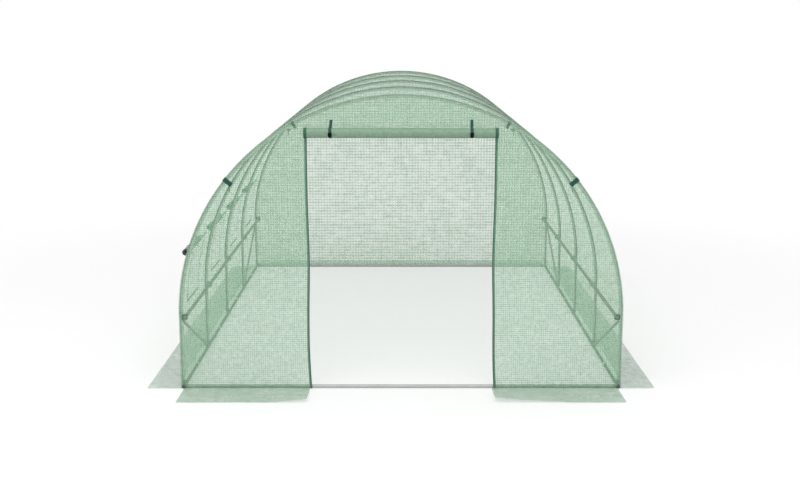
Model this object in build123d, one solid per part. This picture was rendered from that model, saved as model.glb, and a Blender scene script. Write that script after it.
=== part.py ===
"""Walk-in polytunnel greenhouse: a bolted frame of round steel tube under a fabric cover.

Millimetres, +Z up. The origin is on the ground at the middle of the footprint. The door end
faces -Y, and the side wall with the windows is on -X.
"""

import os
from math import asin, cos, radians, sin

from build123d import *

# Overall form: five hoops, each a half circle standing on two straight legs.
tunnel_width = 3000.0  # over the cover, at the side walls
leg_height = 500.0  # ground to the spring of the arch
hoop_count = 5
hoop_spacing = 1000.0

# Steel tube, by outside diameter.
hoop_tube = 25.0
leg_tube = 22.0
rail_tube = 25.0
purlin_tube = 25.0
brace_tube = 19.0

# Frame joints.
fitting_reach = 35.0  # from the crossing of a foot fitting to the end of each arm
fitting_height = 60.0  # ground to the top of its upright arm
purlin_height = 500.0
purlin_gap = 1.0  # between a hoop and the purlin that passes inside it
clamp_size = 36.0  # along and across the hoop
clamp_wall = 3.0
clamp_grip = 8.0  # from the inner side of a hoop towards its middle
brace_top = 485.0
cap_length = 6.0

# Fabric, with every sheet thicker than the real one so that it is a closed solid.
cover_thickness = 3.0
cover_gap = 0.5  # between the tubes and the inside of the cover
seam_angle = 22.5  # above the spring, where the side panel meets the roof panel
side_skirt = 230.0
end_skirt = 300.0
end_skirt_inset = 20.0
hem_thickness = 3.0
hem_low_angle = 35.0  # how far the hem tucks under the rail on its inner side
hem_high_angle = 145.0
clip_width = 24.0
clip_thickness = 2.5
notch_gap = 1.0

# Doorway and its rolled-up door.
door_width = 1240.0
door_height = 1715.0
door_roll = 68.0
roll_press = 2.0  # how far a roll is pressed flat against its wall
door_roll_overlap = 15.0  # past the doorway at each end
zip_width = 15.0
zip_thickness = 3.0
strap_width = 20.0
strap_thickness = 2.0
strap_offset = 462.0  # from the middle of the doorway
strap_rise = 48.0  # above the roll
buckle_width = 24.0
buckle_height = 32.0
buckle_depth = 6.0
buckle_drop = 10.0  # below the middle of the roll

# Windows in the left side panel, one to a bay.
window_width = 400.0
window_height = 400.0
window_sill = 550.0
net_thickness = 1.5
border_width = 18.0
border_thickness = 1.5
window_roll = 44.0
window_roll_length = 540.0
window_roll_drop = 50.0  # from the top of the window to the middle of the roll
tie_width = 18.0
tie_thickness = 2.0
tie_offset = 130.0  # from the middle of the window

# Straps that hold the cover's ends to the outer hoops.
hoop_tie_angle = 38.8
hoop_tie_width = 30.0
hoop_tie_thickness = 2.0
hoop_tie_reach = 48.0  # along the roof
hoop_tie_drop = 66.0  # down the end wall

# Worked out from the sizes above.
arch_outer = tunnel_width / 2
arch_inner = arch_outer - cover_thickness
ridge_height = leg_height + arch_outer
hoop_radius = arch_inner - cover_gap - hoop_tube / 2
frame_end = (hoop_count - 1) * hoop_spacing / 2
frame_face = frame_end + hoop_tube / 2
wall_inner = frame_face + cover_gap
wall_outer = wall_inner + cover_thickness
rail_height = rail_tube / 2
purlin_x = hoop_radius - hoop_tube / 2 - purlin_gap - purlin_tube / 2
hoop_places = [n * hoop_spacing - frame_end for n in range(hoop_count)]
bay_places = [y + hoop_spacing / 2 for y in hoop_places[:-1]]
rail_length = hoop_spacing - 2 * fitting_reach


def rod(start, end, diameter):
    """A round bar from one point to another."""
    line = Vector(*end) - Vector(*start)
    bar = Cylinder(diameter / 2, line.length, align=(Align.CENTER, Align.CENTER, Align.MIN))
    return Plane(origin=start, z_dir=line) * bar


def block(low, high):
    """A box between two corners."""
    size = [b - a for a, b in zip(low, high)]
    return Pos(*low) * Box(*size, align=(Align.MIN, Align.MIN, Align.MIN))


def across(piece):
    """The same piece on the other side of the tunnel."""
    return mirror(piece, Plane.YZ)


def both(pieces):
    """Right-hand pieces together with the same pieces on the left."""
    return pieces + [across(piece) for piece in pieces]


def along_tunnel(outline, start, end):
    """An outline drawn looking along the tunnel, pulled from one Y to another."""
    face = Pos(0, start, 0) * (Plane.XZ * outline)
    return extrude(face, amount=end - start, dir=(0, 1, 0))


def arch_point(radius, angle):
    """A point on the arch, with its angle measured up from the right-hand spring."""
    return (radius * cos(radians(angle)), leg_height + radius * sin(radians(angle)))


def arch_band(inner, outer, low_angle, high_angle):
    """The outline of a stretch of the arch between two radii."""
    spring = (0, leg_height)
    turn = high_angle - low_angle
    return make_face([
        CenterArc(spring, outer, low_angle, turn),
        CenterArc(spring, inner, low_angle, turn),
        Line(arch_point(inner, low_angle), arch_point(outer, low_angle)),
        Line(arch_point(inner, high_angle), arch_point(outer, high_angle)),
    ])


def side_band(inner, outer, high_angle):
    """The outline of a side panel: the upright wall and the start of the arch."""
    spring = (0, leg_height)
    return make_face([
        Line((inner, 0), (outer, 0)),
        Line((outer, 0), (outer, leg_height)),
        CenterArc(spring, outer, 0, high_angle),
        Line(arch_point(inner, high_angle), arch_point(outer, high_angle)),
        CenterArc(spring, inner, 0, high_angle),
        Line((inner, leg_height), (inner, 0)),
    ])


# Frame ------------------------------------------------------------------------------------


def make_hoop(y):
    """One hoop: the bent arch tube and the two thinner legs that plug into it."""
    section = Plane(origin=(hoop_radius, 0, 0), z_dir=(0, 0, 1)) * Circle(hoop_tube / 2)
    hoop = Pos(0, y, leg_height) * revolve(section, Axis.Y, -180)
    for x in (-hoop_radius, hoop_radius):
        hoop += rod((x, y, fitting_height), (x, y, leg_height), leg_tube)
    return hoop


def make_foot(y):
    """A right-hand foot fitting: arms along the rail and up the leg, and across at a corner."""
    x = hoop_radius
    low_y = max(y - fitting_reach, -frame_face)
    high_y = min(y + fitting_reach, frame_face)
    foot = rod((x, low_y, rail_height), (x, high_y, rail_height), rail_tube)
    foot += rod((x, y, rail_height), (x, y, fitting_height), rail_tube)
    if abs(y) == frame_end:
        foot += rod((x, y, rail_height), (x - fitting_reach, y, rail_height), rail_tube)
    return foot


def make_side_rail(x, y):
    """One length of side rail, between the fittings of two hoops."""
    start, end = y - rail_length / 2, y + rail_length / 2
    return rod((x, start, rail_height), (x, end, rail_height), rail_tube)


def make_end_rail(y):
    """The rail across one end, between its two corner fittings."""
    reach = hoop_radius - fitting_reach
    return rod((-reach, y, rail_height), (reach, y, rail_height), rail_tube)


def make_clamp(y, hoop, purlin):
    """The clamp that ties the right-hand purlin to one hoop."""
    half = clamp_size / 2
    low = (purlin_x - purlin_tube / 2 - clamp_wall, max(y - half, -frame_face), purlin_height - half)
    grip_x = hoop_radius - hoop_tube / 2 + clamp_grip
    high = (grip_x, min(y + half, frame_face), purlin_height + half)
    return block(low, high) - hoop - purlin


def make_brace(end_y, next_y, touched):
    """A right-hand diagonal from an end hoop's leg down to the next hoop's foot."""
    top = (hoop_radius, end_y, brace_top)
    bottom = (hoop_radius, next_y, rail_height)
    brace = rod(top, bottom, brace_tube)
    for piece in touched:
        brace -= piece
    return brace


hoops = [make_hoop(y) for y in hoop_places]
feet = [make_foot(y) for y in hoop_places]
side_rails = [make_side_rail(hoop_radius, y) for y in bay_places]
purlin = rod((purlin_x, -frame_face, purlin_height), (purlin_x, frame_face, purlin_height), purlin_tube)
clamps = [make_clamp(y, hoop, purlin) for y, hoop in zip(hoop_places, hoops)]
brace_front = make_brace(hoop_places[0], hoop_places[1], [hoops[0], hoops[1], feet[1], side_rails[0], clamps[0]])
brace_back = make_brace(hoop_places[-1], hoop_places[-2], [hoops[-1], hoops[-2], feet[-2], side_rails[-1], clamps[-1]])
caps = []
for face_y, cap_y in ((-frame_face, -frame_face - cap_length), (frame_face, frame_face + cap_length)):
    caps.append(rod((hoop_radius, face_y, rail_height), (hoop_radius, cap_y, rail_height), rail_tube))


# Cover ------------------------------------------------------------------------------------


def make_end_wall(start, end):
    """A whole end wall that fills the cover, with its bottom corners notched for the rails."""
    outline = make_face([
        Line((-arch_inner, 0), (arch_inner, 0)),
        Line((arch_inner, 0), (arch_inner, leg_height)),
        CenterArc((0, leg_height), arch_inner, 0, 180),
        Line((-arch_inner, leg_height), (-arch_inner, 0)),
    ])
    notch_edge = hoop_radius - rail_tube / 2 - notch_gap
    notch = block((notch_edge, start, 0), (arch_outer, end, rail_tube + notch_gap))
    return along_tunnel(outline, start, end) - notch - across(notch)


def window_block(y, grow):
    """A block through the left side panel where one window is, larger all round by grow."""
    half = window_width / 2 + grow
    low = (-tunnel_width, y - half, window_sill - grow)
    high = (-arch_inner / 2, y + half, window_sill + window_height + grow)
    return block(low, high)


side_panel = along_tunnel(side_band(arch_inner, arch_outer, seam_angle), -wall_outer, wall_outer)
side_panel_left = across(side_panel)
net_low = arch_inner + (cover_thickness - net_thickness) / 2
net_outline = side_band(net_low, net_low + net_thickness, seam_angle)
net_strip = across(along_tunnel(net_outline, -wall_outer, wall_outer))
border_outline = side_band(arch_outer, arch_outer + border_thickness, seam_angle)
border_strip = across(along_tunnel(border_outline, -wall_outer, wall_outer))
nets = []
borders = []
for y in bay_places:
    hole = window_block(y, 0)
    side_panel_left -= hole
    nets.append(net_strip & hole)
    borders.append((border_strip & window_block(y, border_width)) - hole)

roof_right = along_tunnel(arch_band(arch_inner, arch_outer, seam_angle, 90), -wall_outer, wall_outer)
roof_left = across(roof_right)

front_wall = make_end_wall(-wall_outer, -wall_inner)
back_wall = make_end_wall(wall_inner, wall_outer)
wall_cut_height = door_height + door_roll / 2
front_side = block((door_width / 2, -wall_outer, 0), (arch_outer, -wall_inner, wall_cut_height))
front_over = block((-arch_outer, -wall_outer, wall_cut_height), (arch_outer, -wall_inner, ridge_height))
front_wall_right = front_wall & front_side
front_wall_left = front_wall & across(front_side)
front_wall_top = front_wall & front_over

skirt_side = block((arch_outer, -wall_outer, 0), (arch_outer + side_skirt, wall_outer, cover_thickness))
skirt_edge = arch_outer - end_skirt_inset
skirt_front = block((door_width / 2, -wall_outer - end_skirt, 0), (skirt_edge, -wall_outer, cover_thickness))
skirt_back = block((-skirt_edge, wall_outer, 0), (skirt_edge, wall_outer + end_skirt, cover_thickness))
for cap in caps:
    skirt_front -= cap
    skirt_back = skirt_back - cap - across(cap)


def rail_ring(inner, outer, length, y):
    """A sleeve over the top and the inner side of the right-hand rail."""
    middle = (hoop_radius, rail_height)
    start, turn = 180 - hem_high_angle, hem_high_angle + hem_low_angle
    arcs = [CenterArc(middle, radius, start, turn) for radius in (inner, outer)]
    ends = [Line(arcs[0] @ place, arcs[1] @ place) for place in (0, 1)]
    return along_tunnel(make_face(arcs + ends), y - length / 2, y + length / 2)


hem_outer = rail_tube / 2 + hem_thickness
hems = [rail_ring(rail_tube / 2, hem_outer, rail_length, y) - side_panel for y in bay_places]
hems[0] -= brace_front
hems[-1] -= brace_back
clips = [rail_ring(hem_outer, hem_outer + clip_thickness, clip_width, y) - side_panel for y in bay_places]


# Doorway ----------------------------------------------------------------------------------

roll_y = -wall_outer - door_roll / 2 + roll_press
roll_z = door_height + door_roll / 2
roll_reach = door_width / 2 + door_roll_overlap
roll = rod((-roll_reach, roll_y, roll_z), (roll_reach, roll_y, roll_z), door_roll)
roll -= block((-roll_reach, -wall_outer, door_height), (roll_reach, wall_outer, door_height + door_roll))

door_zip = block(
    (door_width / 2, -wall_outer - zip_thickness, cover_thickness),
    (door_width / 2 + zip_width, -wall_outer, door_height),
)


def make_door_strap(x):
    """A strap from above the roll, down in front of it and up to the wall behind it."""
    low_x, high_x = x - strap_width / 2, x + strap_width / 2
    loop = rod((low_x, roll_y, roll_z), (high_x, roll_y, roll_z), door_roll + 2 * strap_thickness)
    loop -= block((low_x, -wall_outer, 0), (high_x, wall_outer, ridge_height))
    tail_top = door_height + door_roll + strap_rise
    tail = block((low_x, -wall_outer - strap_thickness, roll_z), (high_x, -wall_outer, tail_top))
    return loop + tail - roll


def make_buckle(x, strap):
    """The buckle on the front of one door strap."""
    low_z = roll_z - buckle_drop - buckle_height / 2
    low_y = roll_y - door_roll / 2 - strap_thickness - buckle_depth
    low = (x - buckle_width / 2, low_y, low_z)
    high = (x + buckle_width / 2, roll_y, low_z + buckle_height)
    return block(low, high) - roll - strap


strap_places = (-strap_offset, strap_offset)
door_straps = [make_door_strap(x) for x in strap_places]
buckles = [make_buckle(x, strap) for x, strap in zip(strap_places, door_straps)]


# Rolled-up window flaps and their ties ------------------------------------------------------

flap_radius = arch_outer + window_roll / 2 - roll_press
flap_z = window_sill + window_height - window_roll_drop
flap_x = -flap_radius * cos(asin((flap_z - leg_height) / flap_radius))


def make_window_roll(y, length, diameter):
    """A roll across the top of one window, pressed against the frame of the window."""
    start, end = y - length / 2, y + length / 2
    bar = rod((flap_x, start, flap_z), (flap_x, end, flap_z), diameter)
    bar -= along_tunnel(Pos(0, leg_height) * Circle(arch_outer), start, end)
    for border in borders:
        bar -= border
    return bar


window_rolls = [make_window_roll(y, window_roll_length, window_roll) for y in bay_places]
window_ties = []
for y, flap in zip(bay_places, window_rolls):
    for place in (y - tie_offset, y + tie_offset):
        window_ties.append(make_window_roll(place, tie_width, window_roll + 2 * tie_thickness) - flap)


# Straps round the outer hoops ---------------------------------------------------------------


def make_hoop_tie(way):
    """A strap folded over the right-hand edge of the roof and down one end wall."""
    corner_y = wall_outer + hoop_tie_thickness
    half = hoop_tie_width / 2
    outer = arch_outer + hoop_tie_thickness
    over = block((arch_outer, corner_y - hoop_tie_reach, -half), (outer, corner_y, half))
    down = block((arch_outer - hoop_tie_drop, wall_outer, -half), (outer, corner_y, half))
    tie = Pos(0, 0, leg_height) * Rot(0, -hoop_tie_angle, 0) * (over + down)
    return tie if way > 0 else mirror(tie, Plane.XZ)


hoop_ties = both([make_hoop_tie(way) for way in (-1, 1)])


# Sub-parts, one file each -------------------------------------------------------------------

nodes = {f"hoop_{n + 1}": [hoop] for n, hoop in enumerate(hoops)}
nodes.update({
    "base_rail_front": [make_end_rail(-frame_end)],
    "base_rail_back": [make_end_rail(frame_end)],
    "front_wall_left": [front_wall_left],
    "front_wall_right": [front_wall_right],
    "front_wall_top": [front_wall_top],
    "back_wall": [back_wall],
    "side_panel_left": [side_panel_left],
    "side_panel_right": [side_panel],
    "roof_left": [roof_left],
    "roof_right": [roof_right],
    "skirt_back": [skirt_back],
    "foot_fittings": both(feet),
    "purlin_clamps": both(clamps),
    "hem_clips": both(clips),
    "rail_end_caps": both(caps),
    "window_nets": nets,
    "window_borders": borders,
    "window_rolls": window_rolls,
    "window_ties": window_ties,
    "door_roll": [roll],
    "door_straps": door_straps,
    "door_buckles": buckles,
    "hoop_ties": hoop_ties,
})
sides = {
    "base_rail": side_rails,
    "purlin": [purlin],
    "brace_front": [brace_front],
    "brace_back": [brace_back],
    "rail_hem": hems,
    "skirt_side": [skirt_side],
    "skirt_front": [skirt_front],
    "door_zip": [door_zip],
}
for name, pieces in sides.items():
    nodes[f"{name}_right"] = pieces
    nodes[f"{name}_left"] = [across(piece) for piece in pieces]

os.makedirs("parts", exist_ok=True)
for name, pieces in nodes.items():
    solids = [solid for piece in pieces for solid in piece.solids()]
    export_step(Compound(label=name, children=solids), f"parts/{name}.step")
    print(name, len(solids))
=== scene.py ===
"""Looks of the walk-in polytunnel greenhouse: tube frame, woven see-through cover, door and windows.

Metres, +Z up. The door end faces -Y and the side with the windows is on -X. Sheets are cut flat,
with their weave laid out on the flat cut, and are then bent over the frame.
"""

from math import acos, asin, ceil, cos, exp, hypot, pi, radians, sin, sqrt

import bmesh
import bpy
from mathutils import Matrix, Vector, noise


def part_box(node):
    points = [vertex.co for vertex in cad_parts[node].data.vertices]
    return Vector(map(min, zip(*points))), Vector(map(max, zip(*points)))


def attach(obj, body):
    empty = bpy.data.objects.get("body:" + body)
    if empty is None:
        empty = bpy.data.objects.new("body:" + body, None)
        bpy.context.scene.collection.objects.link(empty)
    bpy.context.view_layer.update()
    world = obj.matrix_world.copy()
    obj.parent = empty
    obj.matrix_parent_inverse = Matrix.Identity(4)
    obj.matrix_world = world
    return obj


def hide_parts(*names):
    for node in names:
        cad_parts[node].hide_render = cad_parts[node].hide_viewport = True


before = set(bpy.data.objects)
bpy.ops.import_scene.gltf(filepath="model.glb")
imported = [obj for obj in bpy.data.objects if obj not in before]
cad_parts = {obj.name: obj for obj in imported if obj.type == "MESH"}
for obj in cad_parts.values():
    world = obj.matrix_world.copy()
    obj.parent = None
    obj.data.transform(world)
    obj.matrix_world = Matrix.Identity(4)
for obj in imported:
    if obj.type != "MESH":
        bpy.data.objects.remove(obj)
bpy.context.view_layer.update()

# --- Floor, daylight and camera ---
# The greenhouse stands on a plain white floor under an even white sky, with one large soft
# lamp high on the door side. The eye stands in front of the door, a little above the ridge.

floor_size = 80.0
floor_colour = (0.80, 0.80, 0.80)
floor_glow = 0.36
shadow_reach = 3.0
fade_width = 3.5
white = (1.0, 1.0, 1.0)
daylight = 1.03
lamp_size = 9.0
lamp_power = 400.0
lamp_place = Vector((-1.2, -6.2, 8.0))
eye_place = (0.0, -9.437, 2.42)
eye_tilt = radians(79.4)
eye_lens = 51.03
eye_shift = -0.00125
farthest_sight = 200.0
most_see_through_layers = 40


def feed(tree, socket, value):
    """A socket gets a typed-in value, another socket's, or the first result of a node."""
    if isinstance(value, bpy.types.Node):
        value = value.outputs[0]
    if isinstance(value, bpy.types.NodeSocket):
        tree.links.new(value, socket)
    else:
        socket.default_value = (*value, 1.0) if socket.type == "RGBA" else value


def put(tree, kind, inputs=None, **settings):
    """One shader node with its settings and what feeds its sockets."""
    node = tree.nodes.new("ShaderNode" + kind)
    for name, value in settings.items():
        setattr(node, name, value)
    for socket, value in (inputs or {}).items():
        feed(tree, node.inputs[socket], value)
    return node


def maths(tree, operation, *values):
    """One Math node."""
    return put(tree, "Math", dict(enumerate(values)), operation=operation)


def ease(tree, value, start, end, first, last):
    """A number that eases from first to last while the value goes from start to end."""
    limits = {"From Min": start, "From Max": end, "To Min": first, "To Max": last}
    return put(tree, "MapRange", {"Value": value, **limits}, interpolation_type="SMOOTHSTEP")


def object_place(tree):
    """Where on the object a point is."""
    return put(tree, "TexCoord").outputs["Object"]


def new_material(name):
    """An empty material and its node tree."""
    material = bpy.data.materials.new(name)
    material.use_nodes = True
    material.node_tree.nodes.clear()
    return material, material.node_tree


def background_rays(tree):
    """1 for the rays that see the background, straight or by way of glass or metal."""
    rays = put(tree, "LightPath").outputs
    mirrored = maths(tree, "MAXIMUM", rays["Is Glossy Ray"], rays["Is Transmission Ray"])
    return maths(tree, "MAXIMUM", rays["Is Camera Ray"], mirrored)


def add_object(name, data):
    """A mesh, a lamp or a camera comes into the scene."""
    thing = bpy.data.objects.new(name, data)
    bpy.context.scene.collection.objects.link(thing)
    return thing


scene = bpy.context.scene
world = bpy.data.worlds.new("white_sky")
scene.world = world
world.use_nodes = True
sky = world.node_tree
sky.nodes.clear()
strength = maths(sky, "MULTIPLY_ADD", background_rays(sky), 1.0 - daylight, daylight)
sky_light = put(sky, "Background", {"Color": white, "Strength": strength})
put(sky, "OutputWorld", {"Surface": sky_light})

floor_mesh = bmesh.new()
bmesh.ops.create_grid(floor_mesh, x_segments=1, y_segments=1, size=floor_size / 2)
floor_data = bpy.data.meshes.new("floor")
floor_mesh.to_mesh(floor_data)
floor_mesh.free()
add_object("floor", floor_data)
white_floor, tree = new_material("white_floor")
matt = put(tree, "BsdfDiffuse", {"Color": floor_colour})
glow = put(tree, "Emission", {"Color": white})
distance = put(tree, "VectorMath", {0: object_place(tree)}, operation="LENGTH").outputs["Value"]
far_away = ease(tree, distance, shadow_reach, shadow_reach + fade_width, floor_glow, 1.0)
share = maths(tree, "MULTIPLY", background_rays(tree), far_away)
put(tree, "OutputMaterial", {"Surface": put(tree, "MixShader", {0: share, 1: matt, 2: glow})})
floor_data.materials.append(white_floor)

lamp_data = bpy.data.lights.new("soft_lamp", "AREA")
lamp_data.size = lamp_size
lamp_data.energy = lamp_power
lamp = add_object("soft_lamp", lamp_data)
lamp.location = lamp_place
lamp.rotation_euler = (-lamp_place).to_track_quat("-Z", "Y").to_euler()

camera_data = bpy.data.cameras.new("eye")
camera_data.lens = eye_lens
camera_data.shift_x = eye_shift
camera_data.clip_end = farthest_sight
camera = add_object("eye", camera_data)
camera.location = eye_place
camera.rotation_euler = (eye_tilt, 0.0, 0.0)
scene.camera = camera
scene.view_settings.view_transform = "Standard"
scene.cycles.transparent_max_bounces = most_see_through_layers

# --- Tube frame ---
# Round steel tube, galvanised after it is bent: five hoops, the ground rails, two purlins and
# four thin braces. The zinc is dull with a faint spangle. Each kind of tube gets its own copy of
# the zinc, painted lighter or darker: painted light on the front hoop and the end rails, painted
# shade on the side rails and purlins.

# Painted light and shade: one zinc in lit and shaded copies, darkest on the side rails and purlins, then
# the braces, end rails and hoops, lightest on the front hoop.
painted_shade_rail_zinc = ((0.26, 0.275, 0.268), (0.13, 0.14, 0.137))
brace_zinc = ((0.40, 0.42, 0.41), (0.24, 0.255, 0.25))
hoop_zinc = ((0.54, 0.56, 0.55), (0.33, 0.35, 0.34))
painted_lit_front_hoop_zinc = ((0.74, 0.76, 0.75), (0.50, 0.52, 0.51))
painted_lit_end_rail_zinc = ((0.50, 0.51, 0.505), (0.33, 0.34, 0.335))
# Painted shade on the hoops' outer side, where the cover lies on them: how bright it stays.
painted_shade_tone = 0.25
front_painted_shade_tone = 0.52
spangle_scale = 160.0
cloud_scale = 9.0
zinc_roughness = 0.45
hoops = [f"hoop_{n}" for n in range(1, 6)]
hoop_low, hoop_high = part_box(hoops[0])
tube_radius = (hoop_high.y - hoop_low.y) / 2
hoop_radius = hoop_high.x - tube_radius
leg_top = hoop_high.z - hoop_high.x
braces = [f"brace_{end}_{side}" for end in ("front", "back") for side in ("left", "right")]


def build_group(name, make, **inputs):
    """A shader group, from the kinds of its inputs and the function that makes its results."""
    group = bpy.data.node_groups.new(name, "ShaderNodeTree")
    for label, kind in inputs.items():
        group.interface.new_socket(label, in_out="INPUT", socket_type="NodeSocket" + kind)
    results = make(group, group.nodes.new("NodeGroupInput").outputs)
    for label in results:
        kind = "NodeSocketColor" if label == "Color" else "NodeSocketFloat"
        group.interface.new_socket(label, in_out="OUTPUT", socket_type=kind)
    outputs = group.nodes.new("NodeGroupOutput").inputs
    for label, value in results.items():
        feed(group, outputs[label], value)
    return group


def blend(tree, share, first, second):
    """A colour between two colours."""
    return put(tree, "Mix", {0: share, 6: first, 7: second}, data_type="RGBA").outputs[2]


def scaled(tree, vector, factor):
    """A place or a colour times a number."""
    return put(tree, "VectorMath", {0: vector, "Scale": factor}, operation="SCALE")


def mottle(tree, place, scale, detail, roughness=0.5):
    """Cloudy patches."""
    inputs = {"Vector": place, "Scale": scale, "Detail": detail, "Roughness": roughness}
    return put(tree, "TexNoise", inputs)


def relief(tree, height, distance, strength):
    """Fine relief of a surface."""
    return put(tree, "Bump", {"Height": height, "Distance": distance, "Strength": strength})


def spangle_zinc(tree, given):
    """Dull zinc: flakes of spangle in cloudy patches."""
    spangle = put(tree, "TexVoronoi", {"Vector": given["Place"], "Scale": spangle_scale})
    flakes = put(tree, "SeparateColor", {0: spangle.outputs["Color"]})
    clouds = mottle(tree, given["Place"], cloud_scale, 4.0)
    cloudy = maths(tree, "MULTIPLY_ADD", clouds, 1.3, -0.3)
    tone = maths(tree, "MULTIPLY_ADD", flakes, 0.35, maths(tree, "MULTIPLY", cloudy, 0.75))
    return {
        "Color": blend(tree, tone, given["Dark"], given["Light"]),
        "Roughness": maths(tree, "MULTIPLY_ADD", cloudy, 0.18, zinc_roughness),
        "Height": maths(tree, "MULTIPLY_ADD", flakes, 0.3, clouds),
    }


zinc_finish = build_group("zinc_finish", spangle_zinc, Place="Vector", Light="Color", Dark="Color")


def painted_cover_shade(tree, tone):
    """Brightness of a hoop: painted shade round the outer side of the bend, where the cover lies."""
    axes = put(tree, "SeparateXYZ", {0: object_place(tree)}).outputs
    height = maths(tree, "MAXIMUM", maths(tree, "SUBTRACT", axes[2], leg_top), 0.0)
    square = maths(tree, "MULTIPLY_ADD", axes[0], axes[0], maths(tree, "MULTIPLY", height, height))
    start, end = hoop_radius - 0.2 * tube_radius, hoop_radius + 0.4 * tube_radius
    return ease(tree, maths(tree, "SQRT", square), start, end, 1.0, tone)


def surface_material(name, finish, values, depth, strength, plain, place=object_place, painted_outer_shade=None):
    """A material with one of the finishes and its relief. Plain holds what is the same all over,
    and the last argument how bright the painted shade leaves the outer side of a bent tube."""
    material, tree = new_material(name)
    made = put(tree, "Group", {"Place": place(tree), **values}, node_tree=finish).outputs
    colour = made["Color"]
    if painted_outer_shade:
        # Painted shade: the outer side of a bent tube is darkened.
        colour = scaled(tree, colour, painted_cover_shade(tree, painted_outer_shade))
    skin = put(tree, "BsdfPrincipled", {
        "Base Color": colour,
        "Roughness": made["Roughness"],
        "Normal": relief(tree, made["Height"], depth, strength),
        **plain,
    })
    put(tree, "OutputMaterial", {"Surface": skin})
    return material


def zinc_material(name, tones, metal, painted_outer_shade=None):
    """A galvanised surface between the light and the dark tone of its spangle."""
    values = {"Light": tones[0], "Dark": tones[1]}
    return surface_material(name, zinc_finish, values, 0.0006, 0.5, {"Metallic": metal}, painted_outer_shade=painted_outer_shade)


def finish_nodes(material, *nodes):
    """Kept parts of the frame get their finish."""
    for node in nodes:
        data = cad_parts[node].data
        data.materials.clear()
        data.materials.append(material)
        for face in data.polygons:
            face.material_index = 0


front_hoop_tube = zinc_material("front_hoop_tube", painted_lit_front_hoop_zinc, 0.3, front_painted_shade_tone)
finish_nodes(front_hoop_tube, hoops[0])
finish_nodes(zinc_material("hoop_tube", hoop_zinc, 0.3, painted_shade_tone), *hoops[1:])
finish_nodes(zinc_material("rail_tube", painted_shade_rail_zinc, 0.3), "base_rail_left", "base_rail_right")
end_rail_tube = zinc_material("end_rail_tube", painted_lit_end_rail_zinc, 0.1)
finish_nodes(end_rail_tube, "base_rail_front", "base_rail_back")
finish_nodes(zinc_material("purlin_tube", painted_shade_rail_zinc, 0.3), "purlin_left", "purlin_right")
finish_nodes(zinc_material("brace_tube", brace_zinc, 0.3), *braces)

# --- Foot fittings, clamps and rail caps ---
# The fittings are galvanised tube, cut and welded. The clamps are pressed steel, black at the end
# hoops, where they also hold a brace, and galvanised between them. Black plastic closes the rails.

fitting_zinc = ((0.36, 0.38, 0.375), (0.2, 0.22, 0.21))
end_clamp_black = ((0.02, 0.026, 0.023), (0.008, 0.011, 0.01))
middle_clamp_zinc = ((0.36, 0.38, 0.37), (0.22, 0.235, 0.23))
cap_colour = (0.045, 0.055, 0.047)
end_clamp_room = 0.2

finish_nodes(zinc_material("fitting_steel", fitting_zinc, 0.5), "foot_fittings")
finish_nodes(zinc_material("clamp_steel", end_clamp_black, 0.1), "purlin_clamps")
clamp_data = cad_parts["purlin_clamps"].data
clamp_data.materials.append(zinc_material("clamp_zinc", middle_clamp_zinc, 0.1))
galvanised_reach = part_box(hoops[-1])[0].y - end_clamp_room
for face in clamp_data.polygons:
    face.material_index = int(abs(face.center.y) < galvanised_reach)


def fade_plastic(tree, given):
    """Moulded plastic, faded in patches and finely grained."""
    patches = mottle(tree, given["Place"], 60.0, 3.0)
    return {
        "Color": blend(tree, patches, given["Fresh"], given["Faded"]),
        "Roughness": maths(tree, "MULTIPLY_ADD", patches, 0.2, given["Smoothest"]),
        "Height": mottle(tree, given["Place"], 900.0, 2.0),
    }


plastic_finish = build_group(
    "plastic_finish", fade_plastic, Place="Vector", Fresh="Color", Faded="Color", Smoothest="Float"
)


def plastic_material(name, colour, roughness, shine=0.5):
    """Moulded plastic with a fine grained skin and slightly uneven colour."""
    faded = [min(1.0, 1.5 * channel + 0.004) for channel in colour]
    values = {"Fresh": colour, "Faded": faded, "Smoothest": roughness - 0.1}
    return surface_material(name, plastic_finish, values, 0.0003, 0.4, {"Specular IOR Level": shine})


finish_nodes(plastic_material("end_cap_plastic", cap_colour, 0.45), "rail_end_caps")

# --- Tunnel cover ---
# One wide sheet of pale green film over a woven scrim goes up one side, over the hoops and down
# the other. It is tight on each hoop and hangs a little between them, with four window holes.

cover_thick = 0.0012
cover_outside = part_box("side_panel_right")[1].x
cover_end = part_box("side_panel_right")[1].y
quarter = cover_outside * pi / 2
cover_half = quarter + leg_top
hoop_lines = [(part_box(hoop)[0].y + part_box(hoop)[1].y) / 2 for hoop in hoops]
bay = hoop_lines[1] - hoop_lines[0]
bay_middles = [line + bay / 2 for line in hoop_lines[:-1]]
crown_sag = 0.009
side_sag = 0.004
crease_depth = 0.0008
film_colour = (0.36, 0.62, 0.405)
thread_colour = (0.36, 0.585, 0.405)
scrim_threads = 69.5
thread_width = 0.16
thread_edge = 0.05
tunnel_dust = (1.7, 1.98, 1.25)
net_low, net_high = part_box("window_nets")
window_half = net_high.y - bay_middles[-1]
window_low, window_high = net_low.z, net_high.z


def draw_threads(tree, axes, n, slub_rate, weight):
    """The threads across one axis, each thicker and thinner along its length, and their slubs."""
    strand = maths(tree, "MULTIPLY_ADD", maths(tree, "ROUND", axes[n]), 7.31, 40.0 * n)
    along = maths(tree, "MULTIPLY", axes[1 - n], slub_rate)
    slub = mottle(tree, put(tree, "CombineXYZ", {0: strand, 1: along, 2: 0.5}), 1.0, 1.0, 0.6)
    thick = maths(tree, "MAXIMUM", maths(tree, "MULTIPLY_ADD", slub, 2.4, -0.2), 0.15)
    half = maths(tree, "MULTIPLY", thick, thread_width)
    across = maths(tree, "PINGPONG", axes[n], 0.5)
    line = ease(tree, across, maths(tree, "ADD", half, thread_edge), half, 0.0, 1.0)
    return maths(tree, "MULTIPLY", line, weight), slub


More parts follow.
